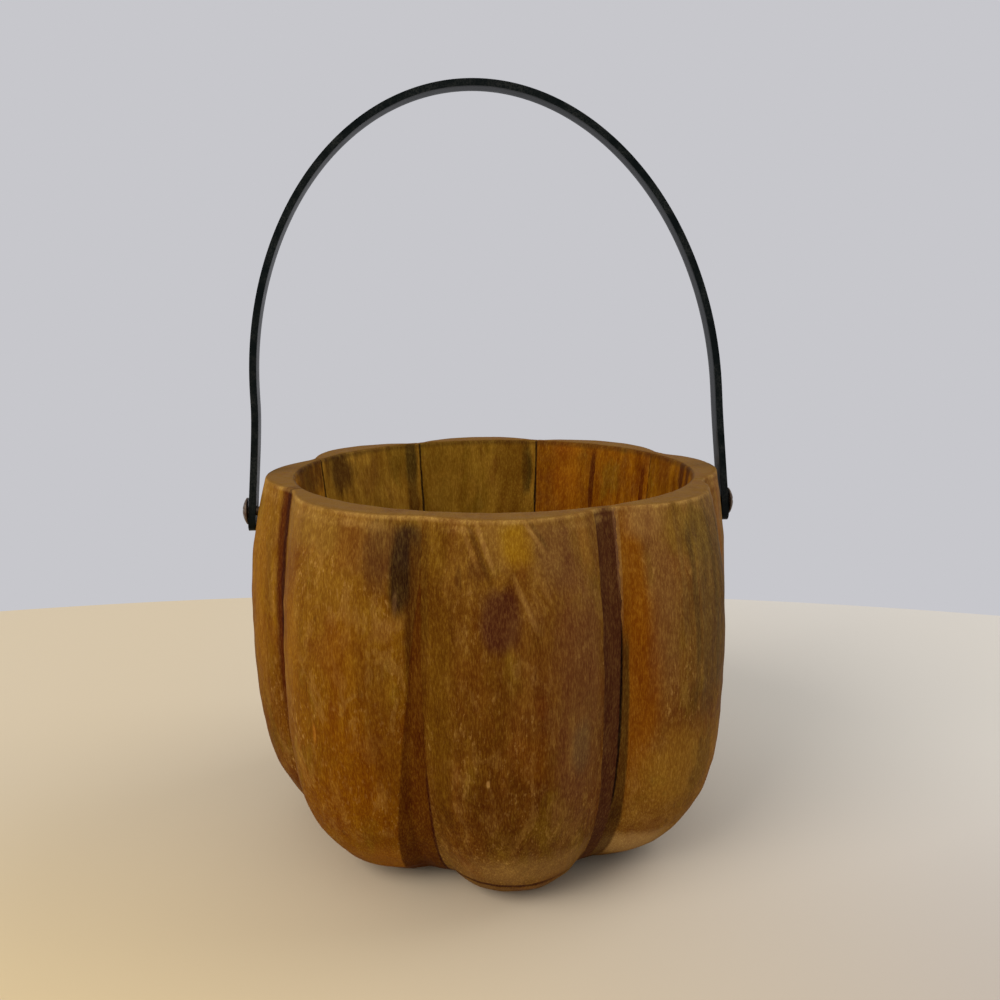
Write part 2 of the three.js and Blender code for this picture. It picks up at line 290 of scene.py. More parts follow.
def use_group(tree, group, **values):
    made = add_node(tree, "Group")
    made.node_tree = group
    for key, value in values.items():
        wire(tree, value, made.inputs[key.replace("_", " ")])
    return made.outputs


# Where a point of the pail lies: degrees from a stave's middle, millimetres up, out and from both
# seams, and which way it faces
pail_place, given, put = new_group(
    "pail_place", [("Turn", 0.0), ("Half Angle", 22.5)],
    ["Angle", "Height", "From Left", "From Right", "Inside", "Top", "Edge"])
tree = pail_place
coordinates = add_node(tree, "TexCoord")
turned = add_node(tree, "VectorRotate", rotation_type="Z_AXIS")
wire(tree, coordinates.outputs["Object"], turned.inputs["Vector"])
wire(tree, product(tree, given["Turn"], -math.pi / 180), turned.inputs["Angle"])
apart = add_node(tree, "SeparateXYZ")
wire(tree, turned.outputs[0], apart.inputs[0])
turn = sum_of(tree, "ARCTAN2", apart.outputs["X"], product(tree, apart.outputs["Y"], -1.0))
wire(tree, product(tree, turn, 180 / math.pi), put["Angle"])
wire(tree, product(tree, apart.outputs["Z"], 1000.0), put["Height"])
flat_place = vector_step(tree, "MULTIPLY", coordinates.outputs["Object"], (1, 1, 0))
radius = product(tree, vector_step(tree, "LENGTH", flat_place), 1000.0)
half_turn = product(tree, given["Half Angle"], math.pi / 180)
wire(tree, product(tree, sum_of(tree, "ADD", half_turn, turn), radius), put["From Left"])
wire(tree, product(tree, sum_of(tree, "SUBTRACT", half_turn, turn), radius), put["From Right"])
outward = vector_step(tree, "NORMALIZE", flat_place)
facing = vector_step(tree, "DOT_PRODUCT", coordinates.outputs["Normal"], outward)
wire(tree, ease_between(tree, facing, -0.2, -0.5), put["Inside"])
normal_apart = add_node(tree, "SeparateXYZ")
wire(tree, coordinates.outputs["Normal"], normal_apart.inputs[0])
wire(tree, ease_between(tree, normal_apart.outputs["Z"], 0.7, 0.92), put["Top"])
wire(tree, product(tree, ease_between(tree, normal_apart.outputs["Z"], 0.15, 0.4),
                   ease_between(tree, normal_apart.outputs["Z"], 0.97, 0.85)), put["Edge"])

# The figure of upright wood: fine fibres, streaks, mottling, clouds of stain, and the small marks of
# wear: scuffs, a thin worn film and pits
upright_figure, given, put = new_group(
    "upright_figure", [("Shift", (0, 0, 0))],
    ["Fibre", "Streak", "Mottle", "Cloud", "Blush", "Scuff", "Film", "Pit"])
tree = upright_figure
coordinates = add_node(tree, "TexCoord")
shifted = vector_step(tree, "ADD", coordinates.outputs["Object"], given["Shift"])
sway = add_node(tree, "TexNoise")
wire(tree, vector_step(tree, "MULTIPLY", shifted, (1, 1, 0.5)), sway.inputs["Vector"])
sway.inputs["Scale"].default_value = 16
sway.inputs["Detail"].default_value = 1
swayed = vector_step(tree, "MULTIPLY_ADD", sway.outputs["Color"], (0.012, 0.012, 0.0), shifted)


def along_grain(stretch, scale, detail, roughness, distortion=0.0, place=swayed, moved=(0, 0, 0)):
    """Cloudy noise drawn out along the grain. Each figure is moved, so that none repeats another."""
    if any(moved):
        place = vector_step(upright_figure, "ADD", place, moved)
    drawn_out = vector_step(upright_figure, "MULTIPLY", place, (1, 1, stretch))
    return cloudy(upright_figure, drawn_out, scale, detail, roughness, distortion)


wire(tree, along_grain(0.2, 1900, 2, 0.7), put["Fibre"])
wire(tree, along_grain(0.13, 240, 3, 0.6), put["Streak"])
wire(tree, along_grain(0.5, 100, 4, 0.6, 0.4), put["Mottle"])
wire(tree, along_grain(0.6, 30, 3, 0.6, 0.6, shifted), put["Cloud"])
wire(tree, along_grain(0.5, 54, 4, 0.6, 0.3, shifted, (3, 5, 7)), put["Blush"])
scuff_spread = ease_between(tree, along_grain(0.6, 60, 3, 0.6, 0.0, shifted, (9, 2, 4)), 0.38, 0.6)
scuff_marks = ease_between(tree, along_grain(0.4, 800, 2, 0.6, 0.0, swayed, (5, 8, 1)), 0.59, 0.67)
wire(tree, product(tree, scuff_spread, scuff_marks), put["Scuff"])
film = along_grain(0.5, 130, 5, 0.7, 0.5, swayed, (1, 6, 3))
wire(tree, ease_between(tree, film, 0.51, 0.59), put["Film"])
pit = along_grain(0.3, 380, 1, 0.5, 0.0, swayed, (7, 1, 9))
wire(tree, ease_between(tree, pit, 0.7, 0.78), put["Pit"])

# A patch of stain with a soft and ragged edge, at a place of its own on the pail
patch_squareness = 2.8
stain_patch, given, put = new_group(
    "stain_patch",
    [("Angle", 0.0), ("Height", 0.0), ("Ragged", 0.5), ("At Angle", 0.0), ("At Height", 80.0),
     ("Half Angle", 5.0), ("Half Height", 20.0), ("Lean", 0.0), ("Softness", 0.4), ("Strength", 1.0)],
    ["Mask"])
tree = stain_patch
up = sum_of(tree, "SUBTRACT", given["Height"], given["At Height"])
across = sum_of(tree, "SUBTRACT", sum_of(tree, "SUBTRACT", given["Angle"], given["At Angle"]),
                product(tree, up, given["Lean"]))
up_share = sum_of(tree, "ABSOLUTE", sum_of(tree, "DIVIDE", up, given["Half Height"]))
across_share = sum_of(tree, "ABSOLUTE", sum_of(tree, "DIVIDE", across, given["Half Angle"]))
powers = [sum_of(tree, "POWER", share, patch_squareness) for share in (up_share, across_share)]
away = sum_of(tree, "POWER", sum_of(tree, "ADD", *powers), 1 / patch_squareness)
ragged_away = sum_of(tree, "ADD", away, given["Ragged"])
mask = ease_between(tree, ragged_away, sum_of(tree, "ADD", 1.0, given["Softness"]),
                    sum_of(tree, "SUBTRACT", 1.0, given["Softness"]))
wire(tree, product(tree, mask, given["Strength"]), put["Mask"])

# A strip of its own colour along a seam, as wide as its rim and foot widths say, between two heights
seam_strip, given, put = new_group(
    "seam_strip",
    [("Distance", 0.0), ("Height", 0.0), ("Ragged", 0.0), ("Rim Width", 8.0), ("Foot Width", 8.0),
     ("Softness", 0.4), ("Low", 0.0), ("High", 163.0), ("Fade", 6.0), ("Strength", 1.0)],
    ["Mask"])
tree = seam_strip
climb = sum_of(tree, "DIVIDE", given["Height"], rim_height * 1000)
widening = sum_of(tree, "SUBTRACT", given["Rim Width"], given["Foot Width"])
width = sum_of(tree, "MULTIPLY_ADD", widening, climb, given["Foot Width"])
edge = sum_of(tree, "ADD", width, given["Ragged"])
mask = ease_between(tree, given["Distance"], sum_of(tree, "ADD", edge, given["Softness"]),
                    sum_of(tree, "SUBTRACT", edge, given["Softness"]))
above = ease_between(tree, given["Height"], sum_of(tree, "SUBTRACT", given["Low"], given["Fade"]),
                     sum_of(tree, "ADD", given["Low"], given["Fade"]))
below = ease_between(tree, given["Height"], sum_of(tree, "ADD", given["High"], given["Fade"]),
                     sum_of(tree, "SUBTRACT", given["High"], given["Fade"]))
wire(tree, product(tree, mask, above, below, given["Strength"]), put["Mask"])


wood_gloss = 0.03
red_blush = tone(104, 54, 18)
olive_blush = tone(110, 84, 20)
red_blush_share = 0.4
olive_blush_share = 0.45
inside_wear = 0.25
film_share = 0.3
scuff_share = 0.42
pit_share = 0.4
pit_tone = tone(66, 38, 10)
# painted shade: a dark band just under the lip, on the inside
lip_shade_tone = tone(64, 42, 18)
lip_shade_share = 0.55
edge_share = 0.6
streak_depth = 1.15
mottle_depth = 0.8
top_grain = 0.6
screen_gamma = 2.2
relief_strength = 0.42
relief_height = 0.0004
amber_varnish = (0.93, 0.84, 0.58, 1)
worn_film = tone(152, 116, 66)
worn_rim = tone(116, 85, 42)
# the paler rim edge: partly rubbed wear, partly a painted highlight
worn_edge_and_highlight = tone(164, 130, 80)
scuff = tone(176, 138, 86)
grain_depth = (0.12, 0.12, 0.06)


def stave_wood(name, middle_angle, half_angle, shift, outside, inside, outside_patches=(),
               inside_patches=(), outside_strips=(), inside_strips=()):
    """The finish of one stave. Outside is its tones from foot to rim and inside its dark and light tone.
    A patch is (colour, angle, height, half angle, half height, lean, softness, raggedness, strength).
    A strip is (seam, colour, rim width, foot width, softness, raggedness, low, high, strength).
    Colours are as tone takes them, angles in degrees from the middle, heights and widths in mm."""
    finish, tree, wood = new_finish(name, wood_gloss)
    place = use_group(tree, pail_place, Turn=float(middle_angle), Half_Angle=float(half_angle))
    figure = use_group(tree, upright_figure, Shift=shift)
    sides = {"inside": place["Inside"], "outside": sum_of(tree, "SUBTRACT", 1.0, place["Inside"])}
    uneven = {key: sum_of(tree, "SUBTRACT", figure[key], 0.5) for key in ("Streak", "Mottle", "Cloud")}
    # the stain's own tones, from foot to rim, on borders that the clouds move about
    climb = weighed(tree, (place["Height"], 0.001 / rim_height), (uneven["Cloud"], 0.5),
                    (uneven["Mottle"], 0.25))
    tones = add_node(tree, "ValToRGB")
    ramp = tones.color_ramp.elements
    while len(ramp) < len(outside):
        ramp.new(0.5)
    for i, colour in enumerate(outside):
        ramp[i].position = 0.04 + 0.92 * i / (len(outside) - 1)
        ramp[i].color = tone(*colour)
    wire(tree, climb, tones.inputs[0])
    colour = tones.outputs[0]
    lighter = weighed(tree, (uneven["Streak"], 0.8), (uneven["Cloud"], 0.9))
    lighter = ease_between(tree, lighter, -0.12, 0.12)
    inner = blend_colour(tree, lighter, tone(*inside[0]), tone(*inside[1]))
    colour = blend_colour(tree, sides["inside"], colour, inner)
    redder = ease_between(tree, figure["Blush"], 0.52, 0.64, 0.0, red_blush_share)
    colour = blend_colour(tree, redder, colour, red_blush)
    greener = ease_between(tree, figure["Blush"], 0.47, 0.35, 0.0, olive_blush_share)
    colour = blend_colour(tree, greener, colour, olive_blush)
    worn = ease_between(tree, place["Inside"], 0.0, 1.0, 1.0, inside_wear)
    colour = blend_colour(tree, product(tree, figure["Film"], worn, film_share), colour, worn_film)
    colour = blend_colour(tree, product(tree, figure["Scuff"], worn, scuff_share), colour, scuff)
    colour = blend_colour(tree, product(tree, figure["Pit"], worn, pit_share), colour, pit_tone)
    patches = [("outside", *patch) for patch in outside_patches]
    patches += [("inside", *patch) for patch in inside_patches]
    for side, tint, angle, height, half_width, half_height, lean, softness, raggedness, strength in patches:
        ragged = weighed(tree, (uneven["Mottle"], 2.6 * raggedness), (uneven["Streak"], 2.2 * raggedness))
        mask = use_group(tree, stain_patch, Angle=place["Angle"], Height=place["Height"], Ragged=ragged,
                         At_Angle=angle, At_Height=height, Half_Angle=half_width, Half_Height=half_height,
                         Lean=lean, Softness=softness, Strength=strength)["Mask"]
        colour = blend_colour(tree, product(tree, mask, sides[side]), colour, tone(*tint))
    strips = [("outside", *strip) for strip in outside_strips]
    strips += [("inside", *strip) for strip in inside_strips]
    for side, seam, tint, rim_width, foot_width, softness, raggedness, low, high, strength in strips:
        ragged = weighed(tree, (uneven["Mottle"], raggedness * 4.0))
        mask = use_group(tree, seam_strip, Distance=place["From Left" if seam == "left" else "From Right"],
                         Height=place["Height"], Ragged=ragged, Rim_Width=rim_width, Foot_Width=foot_width,
                         Softness=softness, Low=low, High=high, Strength=strength)["Mask"]
        colour = blend_colour(tree, product(tree, mask, sides[side]), colour, tone(*tint))
    # wear and painted light: the rim's top rubbed, a band of painted shade just under the lip inside, and
    # its outer edges paler in places, partly rubbed and partly a painted highlight
    ragged = weighed(tree, (uneven["Mottle"], 1.0), (uneven["Streak"], 0.6))
    rubbed_top = product(tree, place["Top"], ease_between(tree, ragged, -0.2, 0.2, 0.6, 0.95))
    colour = blend_colour(tree, rubbed_top, colour, worn_rim)
    # painted shade just under the lip, on the inside
    painted_lip_shade = product(tree, sides["inside"], ease_between(tree, place["Height"], 159.5, 162.2), lip_shade_share)
    colour = blend_colour(tree, painted_lip_shade, colour, lip_shade_tone)
    # the outer rim edge paler in places: rubbed wear and a painted highlight
    beside_top = product(tree, ease_between(tree, place["Height"], 160.6, 162.2),
                         sum_of(tree, "SUBTRACT", 1.0, place["Top"]))
    rim_edge = sum_of(tree, "MAXIMUM", product(tree, place["Edge"], 0.7), beside_top)
    pale_edge_wear_and_highlight = product(tree, rim_edge, sides["outside"], ease_between(tree, place["Height"], 150, 160),
                        ease_between(tree, ragged, -0.25, 0.2))
    colour = blend_colour(tree, product(tree, pale_edge_wear_and_highlight, edge_share), colour, worn_edge_and_highlight)
    colour = blend_colour(tree, 1.0, colour, amber_varnish, "MULTIPLY")
    # fibres, streaks and mottling lighten and darken all tones alike, as the eye sees them
    fine = ease_between(tree, figure["Fibre"], 0.36, 0.74, -0.25, 0.6)
    depth = weighed(tree, (fine, 1.0), (uneven["Streak"], streak_depth), (uneven["Mottle"], mottle_depth))
    depth = product(tree, depth, ease_between(tree, place["Top"], 0.0, 1.0, 1.0, top_grain))
    seen = add_node(tree, "Gamma")
    wire(tree, colour, seen.inputs["Color"])
    seen.inputs["Gamma"].default_value = 1 / screen_gamma
    grained = vector_step(tree, "MULTIPLY_ADD", depth, grain_depth, seen.outputs[0])
    back = add_node(tree, "Gamma")
    wire(tree, vector_step(tree, "MAXIMUM", grained, (0, 0, 0)), back.inputs["Color"])
    back.inputs["Gamma"].default_value = screen_gamma
    colour = back.outputs[0]
    wire(tree, colour, wood.inputs["Base Color"])
    rough = weighed(tree, (figure["Streak"], 0.25), (figure["Film"], 0.12))
    wire(tree, sum_of(tree, "ADD", rough, 0.5), wood.inputs["Roughness"])
    uneven_skin = weighed(tree, (figure["Fibre"], 0.5), (figure["Streak"], 0.8), (figure["Mottle"], 0.8))
    add_relief(tree, wood, uneven_skin, relief_strength, relief_height)
    return finish


# a maroon tone: real stain in some places, painted shade along the foot in others
maroon_stain_and_shade = (72, 34, 16)
pale_tan = (166, 130, 84)
black_crack = (22, 10, 5)
dark_strip = (74, 42, 26)
soft_seam = (0.8, 0.5, -20, 190, 0.7)
front_left_seam = (-19.5, 0.0, 0.0)
front_right_seam = (25.5, 0.046, 0.114)

front_stave = carve_stave("stave_front", front_left_seam, front_right_seam)
front_stave.data.materials.append(stave_wood(
    "front_stave_wood", 3, 22.5, (0.1, 0.2, 0.3),
    [(112, 80, 36), (92, 54, 10), (94, 56, 13), (110, 72, 22), (122, 86, 32)],
    [(110, 72, 18), (128, 88, 26)],
    outside_patches=[
        ((94, 62, 6), -18.8, 96, 3.4, 52, 0, 0.5, 0.3, 0.8),
        ((88, 56, 6), -11, 100, 8, 46, 0, 0.5, 0.4, 0.5),
        ((98, 67, 6), -18.8, 152, 2.6, 10, 0, 0.5, 0.25, 0.7),
        ((136, 100, 50), -6.6, 153.5, 1.9, 8.0, -0.12, 0.5, 0.3, 0.65),
        # the yellow blotch and the maroon one
        ((144, 106, 14), -2.6, 154.5, 3.3, 7.4, -0.06, 0.45, 0.25, 0.72),
        ((78, 44, 26), -5.9, 127, 3.9, 11.2, 0, 0.3, 0.1, 0.93),
        ((100, 66, 20), -13, 147, 4.5, 14, 0, 0.6, 0.4, 0.45),
        ((84, 50, 18), -10.3, 145, 2.0, 3.2, 0, 0.5, 0.3, 0.6),
        ((84, 52, 16), -14.2, 142, 0.7, 4.4, 0, 0.4, 0.3, 0.7),
        ((108, 74, 46), 5.5, 150, 5, 13, -0.1, 0.5, 0.3, 0.7),
        ((114, 76, 48), 11, 96, 6, 52, 0, 0.5, 0.4, 0.65),
        ((92, 50, 20), 3, 104, 7, 30, 0, 0.5, 0.4, 0.35),
        ((142, 98, 44), 12.6, 151, 1.5, 10, -0.1, 0.5, 0.3, 0.6),
        ((108, 84, 58), 10.7, 75, 2.4, 9, 0, 0.5, 0.4, 0.6),
        ((100, 52, 16), 1.8, 93.5, 1.2, 4, 0, 0.5, 0.4, 0.4),
        ((108, 64, 8), 0, 74, 3, 9, 0, 0.5, 0.4, 0.5),
        ((76, 42, 6), -8, 50, 8, 16, 0, 0.5, 0.4, 0.6),
        ((144, 112, 70), 1, 21, 14, 7.0, 0, 0.6, 0.6, 0.6),
        (pale_tan, -8.6, 64, 0.3, 1.4, 0, 0.4, 0.2, 0.8),
        # marks of a knife, drawn as tone only: pale lines are painted highlights along their ridges and
        # dark lines beside them are painted shade
        ((84, 54, 18), -10.2, 151.5, 0.5, 10.0, -0.21, 0.5, 0.25, 0.6),
        ((140, 104, 56), -12.1, 153.6, 0.5, 7.0, -0.22, 0.6, 0.35, 0.5),
        ((152, 116, 68), -9.0, 153.6, 0.55, 9.0, -0.2, 0.5, 0.35, 0.6),
        ((148, 112, 66), 0.8, 157, 0.5, 6.0, -0.36, 0.5, 0.2, 0.65),
        ((84, 58, 30), 1.8, 157.3, 0.5, 5.6, -0.36, 0.5, 0.2, 0.5),
        ((146, 110, 64), -1.0, 132.2, 0.55, 7.6, -0.22, 0.6, 0.35, 0.55),
        ((132, 94, 48), 2.4, 139, 0.5, 7.0, -0.25, 0.5, 0.2, 0.4),
        ((118, 86, 50), 0, 4, 30, 7, 0, 0.3, 0.1, 0.6),
        # the dark line over the foot: partly stain and partly painted contact shade
        ((54, 18, 8), -6, 12.2, 16, 0.9, 0, 0.5, 0.3, 0.85),
    ],
    outside_strips=[
        ("right", dark_strip, 10.2, 5.8, 0.3, 0.24, -20, 190, 0.95),
        ("right", (132, 96, 72), 1.3, 0.2, 0.5, 0.3, 132, 172, 0.6),
        ("right", black_crack, 0.55, 0.55, 0.3, 0.35, 42, 116, 0.95),
        ("left", (84, 50, 5), 5.5, -4.0, 0.8, 0.2, -20, 130, 0.85),
        ("left", (86, 56, 10), 3.0, 3.2, 1.0, 0.35, 118, 160, 0.85),
        ("left", (56, 20, 8), 0.4, 0.6, 0.3, 0.3, -20, 62, 0.85),
    ]))
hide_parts("stave_front")
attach(front_stave, "body")

# --- The front right stave --------------------------------------------
# Glued to the right of the front stave, of the same wood, and left narrower. It took an orange stripe
# beside its left seam and fine grey-brown streaks down its back. A black line shows where the glue gave.

right_front_seam = (69, 0.0, 0.0)
front_right_stave = carve_stave("stave_front_right", front_right_seam, right_front_seam)
front_right_stave.data.materials.append(stave_wood(
    "front_right_stave_wood", 47.25, 21.75, (0.7, 0.4, 0.9),
    [(128, 92, 40), (120, 80, 26), (108, 68, 26), (110, 74, 30), (118, 82, 40)],
    [(110, 72, 18), (128, 88, 26)],
    outside_patches=[
        ((124, 74, 6), -19.4, 134, 3.0, 24, -0.01, 0.4, 0.2, 0.85),
        ((122, 70, 4), -17.7, 88, 3.8, 38, 0.01, 0.45, 0.25, 0.85),
        ((112, 76, 46), -12.6, 124, 3.0, 34, 0, 0.5, 0.3, 0.6),
        ((140, 104, 64), -15.5, 157, 4, 6, 0.1, 0.5, 0.3, 0.7),
        ((128, 98, 38), -7, 153, 4.5, 9, 0, 0.5, 0.6, 0.65),
        ((128, 100, 40), -2, 149, 4, 12, 0, 0.5, 0.4, 0.7),
        ((82, 60, 32), -5.5, 122, 0.8, 32, 0, 0.4, 0.4, 0.65),
        ((78, 56, 30), 2.0, 118, 0.8, 36, 0, 0.4, 0.4, 0.7),
        ((124, 94, 56), -3.4, 116, 0.7, 34, 0, 0.4, 0.4, 0.5),
        ((120, 90, 52), -8.4, 128, 0.6, 26, 0, 0.4, 0.4, 0.5),
        ((88, 68, 40), 3.5, 118, 10, 46, 0, 0.5, 0.3, 0.65),
        ((80, 60, 30), 7.5, 132, 0.5, 26, 0, 0.4, 0.3, 0.7),
        ((84, 62, 30), 4.6, 112, 0.5, 30, 0, 0.4, 0.3, 0.6),
        ((144, 106, 40), -6, 56, 10, 14, 0, 0.6, 0.9, 0.62),
        ((84, 60, 26), -1.5, 54, 3.0, 14, 0, 0.5, 0.6, 0.5),
        ((170, 138, 96), -14, 17, 10, 6, 0, 0.5, 0.4, 0.8),
        # painted shade along the foot
        (maroon_stain_and_shade, 0, 2, 30, 5, 0, 0.35, 0.3, 0.5),
    ],
    outside_strips=[
        ("left", (76, 50, 16), 1.4, 6.4, 0.4, 0.15, 30, 112, 0.85),
        ("left", (136, 100, 62), 1.2, 0.4, 0.4, 0.3, 118, 176, 0.6),
        ("left", black_crack, 0.5, 0.5, 0.3, 0.35, 42, 116, 0.9),
        ("left", (62, 36, 10), 0, 7.0, 0.6, 0.3, -20, 40, 0.75),
        ("right", (80, 54, 24), 1.6, 3, 1.0, 0.5, -20, 190, 0.6),
    ]))
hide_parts("stave_front_right")
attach(front_right_stave, "body")

# --- The right stave --------------------------------------------------
# The stave that carries the right screw. It is the flattest lobe, grey-brown where hands wore it, and
# maroon stain ran down its inside from the rim.

right_rear_seam = (114, 0.0, 0.0)
right_stave = carve_stave("stave_right", right_front_seam, right_rear_seam)
right_stave.data.materials.append(stave_wood(
    "right_stave_wood", 91.5, 22.5, (1.3, 0.8, 0.2),
    [(120, 88, 44), (108, 74, 30), (104, 70, 30), (108, 76, 38), (120, 86, 44)],
    [(117, 72, 4), (132, 83, 6)],
    outside_patches=[
        ((126, 78, 20), -15.5, 110, 1.8, 50, 0, 0.4, 0.4, 0.8),
        ((128, 98, 48), 2, 60, 8, 18, 0, 0.5, 0.8, 0.5),
        ((84, 58, 30), 9, 120, 3, 40, 0, 0.5, 0.6, 0.6),
    ],
    inside_patches=[
        (maroon_stain_and_shade, -6, 160, 2.4, 12, 0, 0.4, 0.5, 0.8),
        (maroon_stain_and_shade, 1.5, 161, 2.0, 14, 0, 0.4, 0.5, 0.8),
    ],
    outside_strips=[
        ("left", (76, 50, 22), 2, 3.4, *soft_seam),
    ]))
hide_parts("stave_right")
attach(right_stave, "body")

# --- The three rear staves --------------------------------------------
# The staves of the far side, of the same wood. Their insides show: golden orange at the right, olive in
# the middle and dark at the left, with long upright streaks and cracks where the glue has let go.

rear_seam = (161, 0.090, 0.170)
rear_left_seam = (202.5, 0.080, 0.170)
left_rear_seam = (246.5, 0.110, 0.170)

rear_right_stave = carve_stave("stave_rear_right", right_rear_seam, rear_seam)
rear_right_stave.data.materials.append(stave_wood(
    "rear_right_stave_wood", 137.5, 23.5, (1.9, 1.1, 0.6),
    [(118, 82, 36), (104, 66, 20), (110, 70, 22), (118, 80, 26), (122, 84, 32)],
    [(121, 71, 3), (137, 84, 5)],
    outside_patches=[
        (maroon_stain_and_shade, 6, 118, 5, 16, 0, 0.4, 0.5, 0.6),
    ],
    inside_patches=[
        ((80, 36, 4), 2, 143, 1.0, 15, -0.02, 0.25, 0.08, 0.95),
        ((88, 40, 4), -20, 145, 1.0, 12, 0, 0.3, 0.1, 0.9),
        ((144, 84, 8), 12, 150, 5, 26, 0, 0.5, 0.3, 0.6),
    ],
    outside_strips=[
        ("left", (76, 44, 14), 2.4, 3.4, *soft_seam),
        ("right", (76, 44, 14), 2.4, 3.4, *soft_seam),
    ],
    inside_strips=[
        ("right", black_crack, 0.5, 0.5, 0.3, 0.3, 90, 190, 0.9),
        ("left", (60, 30, 6), 0.8, 0.8, 0.5, 0.3, -20, 190, 0.7),
    ]))
rear_stave = carve_stave("stave_rear", rear_seam, rear_left_seam)
rear_stave.data.materials.append(stave_wood(
    "rear_stave_wood", 181.75, 20.75, (2.6, 1.7, 0.1),
    [(114, 80, 38), (98, 62, 18), (104, 68, 20), (114, 78, 26), (122, 84, 32)],
    [(122, 90, 22), (138, 102, 32)],
    outside_patches=[
        ((84, 48, 16), -4, 84, 7, 24, 0, 0.5, 0.6, 0.6),
    ],
    inside_patches=[
        ((58, 48, 16), -17.3, 146, 1.6, 12, 0, 0.45, 0.5, 0.85),
        ((104, 68, 10), -12, 140, 5, 40, 0, 0.5, 0.3, 0.7),
        ((146, 108, 36), 13, 140, 6, 40, 0, 0.5, 0.3, 0.6),
    ],
    outside_strips=[
        ("left", (72, 42, 14), 2.6, 3.4, *soft_seam),
        ("right", (72, 42, 14), 2.6, 4.4, *soft_seam),
    ],
    inside_strips=[
        ("left", black_crack, 0.6, 0.6, 0.3, 0.35, 90, 190, 0.95),
        ("right", black_crack, 0.5, 0.5, 0.3, 0.35, 80, 190, 0.9),
    ]))
rear_left_stave = carve_stave("stave_rear_left", rear_left_seam, left_rear_seam)
rear_left_stave.data.materials.append(stave_wood(
    "rear_left_stave_wood", 224.5, 22, (3.3, 2.1, 0.8),
    [(116, 82, 40), (100, 64, 20), (108, 70, 22), (112, 76, 26), (118, 82, 34)],
    [(144, 105, 34), (166, 124, 46)],
    outside_patches=[
        ((126, 78, 18), 4, 100, 8, 30, 0, 0.5, 0.6, 0.6),
    ],
    inside_patches=[
        ((70, 40, 14), 12, 156, 6, 10, 0, 0.5, 0.6, 0.8),
        ((62, 46, 18), -18.4, 153, 2.2, 14, 0, 0.35, 0.15, 0.85),
        ((84, 52, 16), -18.4, 120, 2.2, 26, 0, 0.35, 0.15, 0.8),
    ],
    outside_strips=[
        ("left", (72, 42, 14), 4, 3.4, *soft_seam),
        ("right", (72, 42, 14), 2.4, 3.4, *soft_seam),
    ],
    inside_strips=[
        ("left", black_crack, 0.5, 0.5, 0.3, 0.35, 80, 190, 0.9),
        ("right", black_crack, 0.5, 0.5, 0.3, 0.35, 110, 190, 0.9),
    ]))
for rear_piece, node in ((rear_right_stave, "stave_rear_right"), (rear_stave, "stave_rear"),
                         (rear_left_stave, "stave_rear_left")):
    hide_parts(node)
    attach(rear_piece, "body")

# --- The left stave ---------------------------------------------------
# The stave that carries the left screw. It kept the most golden stain, over fine upright grain, and has
# a dark maroon band along the seam at its front: painted shade of the deep groove there.

left_front_seam = (293.5, 0.020, 0.150)
left_stave = carve_stave("stave_left", left_rear_seam, left_front_seam)
left_stave.data.materials.append(stave_wood(
    "left_stave_wood", 270, 23.5, (4.1, 2.9, 0.5),
    [(102, 62, 6), (102, 60, 4), (108, 68, 6), (124, 84, 12), (128, 90, 22)],
    [(142, 94, 23), (168, 116, 32)],
    outside_patches=[
        ((98, 62, 14), 17.2, 132, 1.4, 26, 0, 0.5, 0.4, 0.5),
        ((136, 92, 22), 10, 110, 5, 40, 0, 0.5, 0.5, 0.6),
        ((96, 60, 12), 6, 70, 2, 44, 0, 0.5, 0.5, 0.3),
    ],
    inside_patches=[
        ((74, 44, 16), -12, 156, 12, 9, 0, 0.5, 0.6, 0.7),
    ],
    outside_strips=[
        # painted shade: the dark maroon band in the deep groove along the front seam
        ("right", (72, 28, 4), 6.6, 5.4, 1.8, 0.2, 30, 190, 0.92),
        ("right", (42, 10, 2), 2.8, 2.4, 1.2, 0.3, 30, 190, 0.8),
        ("right", (66, 30, 6), 3.0, 4.0, 0.8, 0.3, -20, 80, 0.9),
        ("left", (72, 42, 14), 2.4, 3.4, *soft_seam),
    ],
    inside_strips=[
        ("left", black_crack, 0.5, 0.5, 0.3, 0.35, 110, 190, 0.9),
    ]))
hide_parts("stave_left")
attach(left_stave, "body")

# --- The front left stave ---------------------------------------------
# The last stave, glued between the left and the front one. Its face is the fullest, golden orange lower
# down, with a long dark blotch from the rim beside the soft valley at its right.

